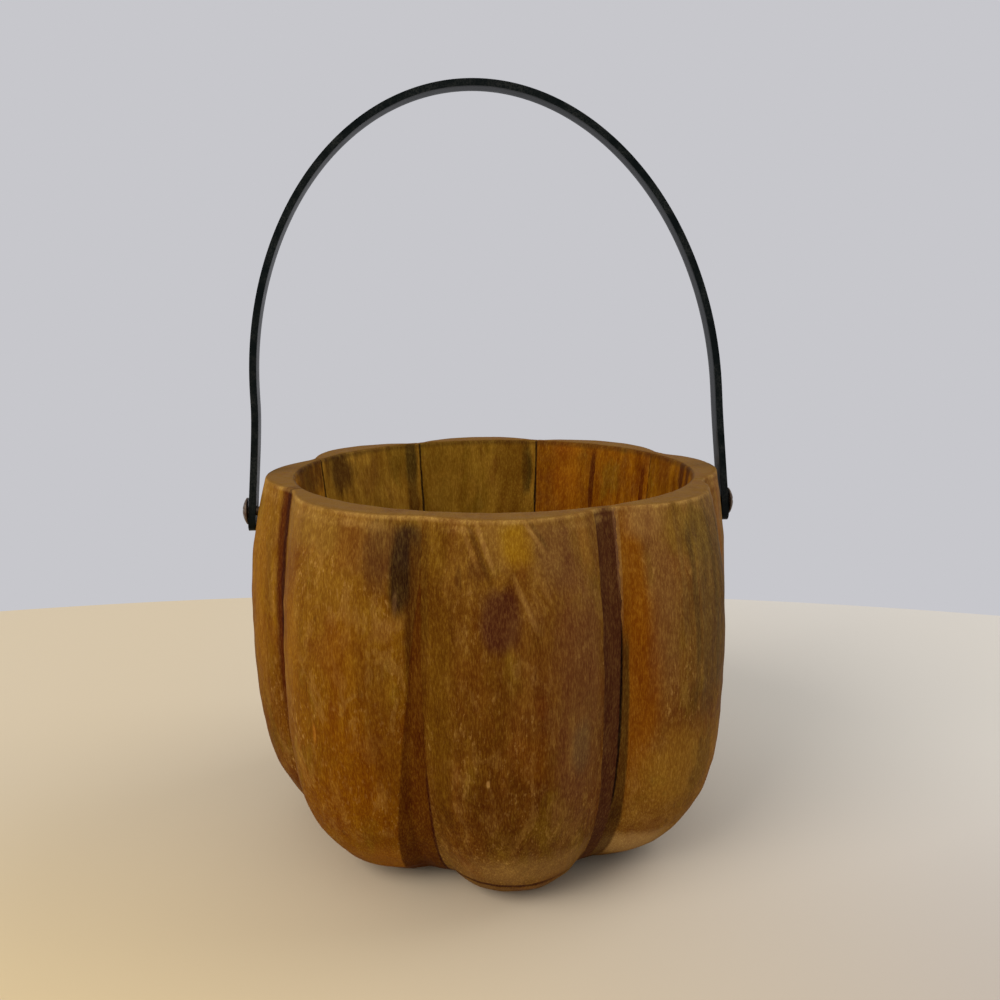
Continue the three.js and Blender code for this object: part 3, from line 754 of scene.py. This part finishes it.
front_left_stave = carve_stave("stave_front_left", left_front_seam, front_left_seam)
front_left_stave.data.materials.append(stave_wood(
    "front_left_stave_wood", 317, 23.5, (5.2, 3.4, 1.1),
    [(122, 78, 8), (118, 73, 2), (114, 71, 4), (118, 80, 16), (122, 86, 28)],
    [(130, 86, 20), (156, 107, 29)],
    outside_patches=[
        ((130, 98, 42), -1.5, 154, 8, 7, 0, 0.5, 0.5, 0.7),
        ((134, 100, 44), -17, 152, 7, 10, 0, 0.5, 0.3, 0.5),
        ((108, 69, 24), 8.8, 151, 3.4, 10, 0, 0.5, 0.3, 0.7),
        ((84, 53, 30), 15.2, 150, 3.6, 13, 0, 0.55, 0.3, 0.8),
        # the long dark blotch
        ((48, 30, 14), 19.5, 139.5, 2.6, 13.0, 0, 0.3, 0.08, 0.96),
        ((54, 36, 22), 20.6, 152, 3.1, 8.4, 0, 0.4, 0.1, 0.94),
        ((112, 84, 60), 18.2, 131, 0.4, 4, 0, 0.6, 0.3, 0.45),
        ((140, 100, 54), 15.6, 120, 2.0, 4.2, 0, 0.5, 0.3, 0.4),
        ((122, 76, 8), 8.2, 110, 4, 14, 0, 0.5, 0.5, 0.5),
        ((134, 90, 20), -8, 109, 3, 20, 0, 0.5, 0.6, 0.6),
        ((114, 66, 1), 8, 60, 8, 26, 0, 0.5, 0.5, 0.6),
        ((150, 98, 34), 0, 75, 0.4, 4, 0, 0.5, 0.4, 0.7),
        ((92, 54, 12), 14.5, 88, 3.4, 34, -0.05, 0.5, 0.3, 0.5),
        ((142, 92, 28), 15, 16, 12, 8, 0, 0.5, 0.4, 0.7),
        # painted shade along the foot
        ((96, 50, 8), 0, 2, 30, 5, 0, 0.35, 0.3, 0.5),
        # the dark line over the foot: partly stain and partly painted contact shade
        ((54, 18, 8), 9, 7.0, 6, 0.9, 0, 0.5, 0.3, 0.8),
        ((54, 18, 8), 20, 13, 6, 1.0, 0, 0.5, 0.3, 0.8),
    ],
    outside_strips=[
        ("right", (76, 44, 8), 7.4, 3.0, 1.4, 0.3, 96, 130, 0.85),
        ("right", (80, 50, 12), 4.4, 4.4, 1.0, 0.3, 120, 154, 0.85),
        ("right", (80, 42, 3), -2.4, 17.9, 0.5, 0.15, -20, 150, 0.93),
        ("right", (56, 20, 8), 0.4, 0.6, 0.3, 0.3, -20, 62, 0.85),
        ("left", (112, 76, 8), 7.0, 7.0, 3.0, 0.4, -20, 150, 0.6),
        ("left", (70, 30, 8), 1.4, 2.0, 0.7, 0.3, -20, 172, 0.8),
    ]))
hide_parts("stave_front_left")
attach(front_left_stave, "body")

# --- The floor board --------------------------------------------------
# A round board of the same wood, let in on the ledge that the staves leave. Its grain lies flat, from
# side to side, and dust and old stain have settled round its edge.

board_mesh_size = 0.0012
board_edge_passes = 2
pith_place = (0.0, 0.008, -0.052)
rings_per_metre = 260.0
dust_reach = (0.064, 0.078)
floor_board = copy_of_node("floor_board", "floor_board_planed")
add_and_apply(floor_board, "REMESH", mode="VOXEL", voxel_size=board_mesh_size)
add_and_apply(floor_board, "SMOOTH", factor=0.5, iterations=board_edge_passes)
bpy.ops.object.shade_smooth()

board_finish, tree, wood = new_finish("floor_board_wood", wood_gloss)
coordinates = add_node(tree, "TexCoord")
sway = add_node(tree, "TexNoise")
object_place = coordinates.outputs["Object"]
wire(tree, vector_step(tree, "MULTIPLY", object_place, (0.35, 1, 1)), sway.inputs["Vector"])
sway.inputs["Scale"].default_value = 22
sway.inputs["Detail"].default_value = 2
swayed = vector_step(tree, "MULTIPLY_ADD", sway.outputs["Color"], (0.0, 0.016, 0.006), object_place)
from_pith = vector_step(tree, "SUBTRACT", vector_step(tree, "MULTIPLY", swayed, (0.1, 1, 1)), pith_place)
ring = sum_of(tree, "FRACT", product(tree, vector_step(tree, "LENGTH", from_pith), rings_per_metre))
ring_shade = product(tree, ease_between(tree, ring, 0.1, 0.8), ease_between(tree, ring, 1.0, 0.86))
fibre = cloudy(tree, vector_step(tree, "MULTIPLY", swayed, (0.05, 1, 1)), 1200, 3, 0.65)
mottle = cloudy(tree, vector_step(tree, "MULTIPLY", swayed, (0.4, 1, 1)), 60, 5, 0.65, 0.4)
colour = blend_colour(tree, ease_between(tree, mottle, 0.38, 0.62), tone(90, 56, 20), tone(124, 84, 34))
colour = blend_colour(tree, product(tree, ring_shade, 0.5), colour, tone(76, 42, 12))
from_middle = vector_step(tree, "LENGTH", vector_step(tree, "MULTIPLY", object_place, (1, 1, 0)))
settled = ease_between(tree, weighed(tree, (from_middle, 1.0), (mottle, 0.02)), *dust_reach)
colour = blend_colour(tree, product(tree, settled, 0.7), colour, tone(58, 38, 18))
colour = blend_colour(tree, 1.0, colour, ease_between(tree, fibre, 0.3, 0.7, 0.78, 1.2), "MULTIPLY")
wire(tree, colour, wood.inputs["Base Color"])
wire(tree, sum_of(tree, "MULTIPLY_ADD", mottle, 0.2, 0.5), wood.inputs["Roughness"])
add_relief(tree, wood, weighed(tree, (fibre, 0.6), (ring_shade, -0.3)), strength=0.5, depth=0.0004)
floor_board.data.materials.append(board_finish)
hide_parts("floor_board")
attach(floor_board, "body")

# --- The bail ---------------------------------------------------------
# A flat strap of mild steel, bent cold to an arch, with a rounded and drilled tab at each end. It is
# painted black, and the paint has rubbed thin along its edges and round the screws.

strap_edge_angle = 40
strap_edge_bevel = 0.00045
pivot_height = 0.146
bail_lean = math.radians(5.5)
rubbed_from = 5.4
rubbed_to = 6.2
paint_gloss = 0.08
bail_strap = copy_of_node("bail", "bail_strap")
crease_sharp_edges(strap_edge_angle)
add_and_apply(bail_strap, "SUBSURF", levels=2, render_levels=2)
add_and_apply(bail_strap, "BEVEL", width=strap_edge_bevel, segments=3, limit_method="ANGLE",
              angle_limit=math.radians(strap_edge_angle))
bpy.ops.object.shade_smooth_by_angle(angle=math.radians(strap_edge_angle))

paint_finish, tree, paint = new_finish("black_paint", paint_gloss)
coordinates = add_node(tree, "TexCoord")
grime = cloudy(tree, coordinates.outputs["Object"], 90, 4, 0.6)
grain = cloudy(tree, coordinates.outputs["Object"], 1400, 3, 0.6)
lean_frame = add_node(tree, "Mapping", vector_type="POINT")
wire(tree, coordinates.outputs["Object"], lean_frame.inputs["Vector"])
lean_frame.inputs["Location"].default_value = (0, pivot_height * math.sin(bail_lean), 0)
lean_frame.inputs["Rotation"].default_value = (bail_lean, 0, 0)
across_strap = add_node(tree, "SeparateXYZ")
wire(tree, lean_frame.outputs[0], across_strap.inputs[0])
off_middle = sum_of(tree, "ABSOLUTE", across_strap.outputs["Y"])
near_edge = weighed(tree, (off_middle, 1000.0), (grime, 3.0))
rubbed = product(tree, ease_between(tree, near_edge, rubbed_from, rubbed_to),
                 ease_between(tree, grain, 0.4, 0.6))
colour = blend_colour(tree, ease_between(tree, grime, 0.4, 0.65), tone(3, 9, 9), tone(8, 14, 14))
colour = blend_colour(tree, product(tree, rubbed, 0.22), colour, tone(70, 71, 68))
wire(tree, colour, paint.inputs["Base Color"])
wire(tree, weighed(tree, (grime, 0.2), (grain, 0.1), (1.0, 0.15)), paint.inputs["Roughness"])
add_relief(tree, paint, grain, strength=0.06, depth=0.0002)
bail_strap.data.materials.append(paint_finish)
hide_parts("bail")
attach(bail_strap, "bail")

# --- The pivot screws -------------------------------------------------
# Two round-headed, slotted wood screws of plain steel, turned and gone brown with age. Each goes through
# a tab of the bail into a hole in its stave, and the tab turns under its head.

head_radius = 0.006
head_edge = 0.0005
head_rise = 0.0024
shank_radius = 0.002
screw_length = 0.017
tip_length = 0.003
slot_width = 0.0012
slot_depth = 0.0012
head_rings = 9
screw_sides = 64
head_bevel = 0.00018
head_fillet_angle = 35
tip_share = 0.05
right_slot_turn = -20
left_slot_turn = 35

dome_rise = head_rise - head_edge
dome_radius = (head_radius ** 2 + dome_rise ** 2) / (2 * dome_rise)
dome_half_angle = math.asin(head_radius / dome_radius)

steel_finish, tree, steel = new_finish("aged_screw_steel")
coordinates = add_node(tree, "TexCoord")
tarnish = cloudy(tree, coordinates.outputs["Object"], 420, 4, 0.65)
speck = cloudy(tree, coordinates.outputs["Object"], 1800, 2, 0.6)
rusty = ease_between(tree, weighed(tree, (tarnish, 0.8), (speck, 0.2)), 0.42, 0.58)
colour = blend_colour(tree, rusty, tone(112, 98, 82), tone(72, 48, 30))
wire(tree, colour, steel.inputs["Base Color"])
wire(tree, ease_between(tree, rusty, 0.0, 1.0, 0.85, 0.25), steel.inputs["Metallic"])
wire(tree, ease_between(tree, rusty, 0.0, 1.0, 0.34, 0.62), steel.inputs["Roughness"])
add_relief(tree, steel, weighed(tree, (tarnish, 0.6), (speck, 0.4)), strength=0.3, depth=0.0001)


def pick_faces(piece, wanted):
    """Selects, in edit mode, only the faces that a test on their centre and normal lets through."""
    bpy.ops.mesh.select_all(action="DESELECT")
    bpy.ops.object.mode_set(mode="OBJECT")
    for face in piece.data.polygons:
        face.select = wanted(face.center, face.normal)
    bpy.ops.object.mode_set(mode="EDIT")


def draw_out(distance, size):
    """Extrudes the selected face along Z and scales its new ring about the Z axis."""
    bpy.ops.mesh.extrude_region_move(TRANSFORM_OT_translate={"value": (0, 0, distance)})
    bpy.ops.transform.resize(value=(size, size, 1), center_override=(0, 0, 0))


def turn_screw(name, node, side, slot_turn):
    """A screw made standing on its tip's end of the Z axis, then laid along X with its head outermost."""
    bpy.ops.object.select_all(action="DESELECT")
    bpy.ops.mesh.primitive_cylinder_add(vertices=screw_sides, radius=head_radius, depth=head_edge,
                                        location=(0, 0, head_edge / 2))
    screw = bpy.context.object
    screw.name = name
    bpy.ops.object.transform_apply(location=True, rotation=True, scale=True)
    bpy.ops.object.mode_set(mode="EDIT")
    bpy.ops.mesh.select_mode(type="FACE")
    pick_faces(screw, lambda centre, normal: normal.z > 0.9)
    ring, height = head_radius, head_edge
    for i in range(1, head_rings + 1):
        angle = dome_half_angle * (1 - i / (head_rings + 0.5))
        next_ring = dome_radius * math.sin(angle)
        next_height = head_rise - dome_radius * (1 - math.cos(angle))
        draw_out(next_height - height, next_ring / ring)
        ring, height = next_ring, next_height
    pick_faces(screw, lambda centre, normal: normal.z < -0.9)
    draw_out(0, shank_radius / head_radius)
    draw_out(tip_length - screw_length, 1)
    draw_out(-tip_length, tip_share)
    bpy.ops.mesh.merge(type="CENTER")
    bpy.ops.mesh.select_all(action="SELECT")
    bpy.ops.mesh.normals_make_consistent(inside=False)
    bpy.ops.object.mode_set(mode="OBJECT")
    bpy.ops.mesh.primitive_cube_add(size=1, location=(0, 0, head_rise))
    blade = bpy.context.object
    blade.scale = (slot_width, 3 * head_radius, 2 * slot_depth)
    blade.rotation_euler = (0, 0, math.radians(slot_turn))
    bpy.ops.object.transform_apply(location=True, rotation=True, scale=True)
    add_and_apply(screw, "BOOLEAN", object=blade, operation="DIFFERENCE", solver="EXACT")
    bpy.data.objects.remove(blade)
    add_and_apply(screw, "BEVEL", width=head_bevel, segments=2, limit_method="ANGLE",
                  angle_limit=math.radians(head_fillet_angle))
    low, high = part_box(node)
    screw.rotation_euler = (0, side * math.pi / 2, 0)
    screw.location = ((high if side > 0 else low)[0] - side * head_rise, 0, (low[2] + high[2]) / 2)
    bpy.ops.object.transform_apply(location=True, rotation=True, scale=True)
    bpy.ops.object.shade_smooth_by_angle(angle=math.radians(head_fillet_angle))
    screw.data.materials.append(steel_finish)
    return screw


right_screw = turn_screw("right_round_head_screw", "pivot_screw_right", 1, right_slot_turn)
left_screw = turn_screw("left_round_head_screw", "pivot_screw_left", -1, left_slot_turn)
for screw, node in ((right_screw, "pivot_screw_right"), (left_screw, "pivot_screw_left")):
    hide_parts(node)
    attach(screw, "body")

# --- The table, the camera and the light ------------------------------
# The pail stands on a round table with a plain pale cloth, before a plain pale wall. Soft warm light comes
# from the left window side and soft cool light from the right. The cloth's colour has painted light and
# shade in it: a warm pool of painted light at the near left and painted shade at the near right.

table_radius = 1.474
table_middle = (-0.1375, -1.1345)
table_thickness = 0.02
far_to_near = (0.06, -0.2)
left_to_right = (-0.25, 0.3)
camera_lens = 36
camera_sensor = 36
camera_place = (-0.03124, -0.44671, 0.24398)
camera_turn = -4.336
camera_dip = 12.03
camera_roll = -0.35
lamp_aim = (0, 0, 0.08)
wall_tone = tone(199, 199, 204)
room_light = 0.63
bpy.ops.object.select_all(action="DESELECT")
bpy.ops.mesh.primitive_cylinder_add(vertices=256, radius=table_radius, depth=table_thickness,
                                    location=(*table_middle, -table_thickness / 2))
table = bpy.context.object
table.name = "table_top"
bpy.ops.object.transform_apply(location=True, rotation=True, scale=True)
cloth, tree, cloth_surface = new_finish("pale_table_cloth")
coordinates = add_node(tree, "TexCoord")
apart = add_node(tree, "SeparateXYZ")
wire(tree, coordinates.outputs["Object"], apart.inputs[0])
# painted light at the near left and painted shade at the near right of the cloth
nearness = ease_between(tree, apart.outputs["Y"], *far_to_near)
left_tone_painted_light = blend_colour(tree, nearness, tone(203, 187, 160), tone(220, 196, 149))
right_tone_painted_shade = blend_colour(tree, nearness, tone(206, 200, 191), tone(180, 172, 166))
rightness = ease_between(tree, apart.outputs["X"], *left_to_right)
wire(tree, blend_colour(tree, rightness, left_tone_painted_light, right_tone_painted_shade), cloth_surface.inputs["Base Color"])
cloth_surface.inputs["Roughness"].default_value = 0.95
table.data.materials.append(cloth)

camera_data = bpy.data.cameras.new("camera")
camera_data.lens = camera_lens
camera_data.sensor_width = camera_sensor
camera = bpy.data.objects.new("camera", camera_data)
bpy.context.scene.collection.objects.link(camera)
camera.location = camera_place
camera.rotation_mode = "QUATERNION"
turn_left = Quaternion((0, 0, 1), math.radians(camera_turn))
look_down = Quaternion((1, 0, 0), math.radians(90 - camera_dip))
roll = Quaternion((0, 0, 1), math.radians(camera_roll))
camera.rotation_quaternion = turn_left @ look_down @ roll
bpy.context.scene.camera = camera


def soft_lamp(name, place, size, power, colour):
    """A square lamp, turned to the pail."""
    data = bpy.data.lights.new(name, "AREA")
    data.shape = "RECTANGLE"
    data.size = data.size_y = size
    data.energy = power
    data.color = colour
    lamp = bpy.data.objects.new(name, data)
    bpy.context.scene.collection.objects.link(lamp)
    lamp.location = place
    lamp.rotation_mode = "QUATERNION"
    lamp.rotation_quaternion = (Vector(lamp_aim) - Vector(place)).to_track_quat("-Z", "Y")


soft_lamp("left_lamp", (-2.75, -2.14, 2.69), size=2.7, power=119, colour=(1, 0.95, 0.89))
soft_lamp("right_lamp", (3.06, 0.77, 2.69), size=2.7, power=55, colour=(0.93, 0.96, 1))

world = bpy.data.worlds.new("studio")
bpy.context.scene.world = world
world.use_nodes = True
sky = world.node_tree
sky.nodes.clear()
out = sky.nodes.new("ShaderNodeOutputWorld")
seen = sky.nodes.new("ShaderNodeBackground")
seen.inputs["Color"].default_value = wall_tone
lit = sky.nodes.new("ShaderNodeBackground")
lit.inputs["Color"].default_value = (1, 1, 1, 1)
lit.inputs["Strength"].default_value = room_light
path = sky.nodes.new("ShaderNodeLightPath")
pick = sky.nodes.new("ShaderNodeMixShader")
seen_or_mirrored = sum_of(sky, "MAXIMUM", path.outputs["Is Camera Ray"], path.outputs["Is Glossy Ray"])
sky.links.new(seen_or_mirrored, pick.inputs[0])
sky.links.new(lit.outputs[0], pick.inputs[1])
sky.links.new(seen.outputs[0], pick.inputs[2])
sky.links.new(pick.outputs[0], out.inputs[0])
bpy.context.scene.view_settings.view_transform = "Standard"
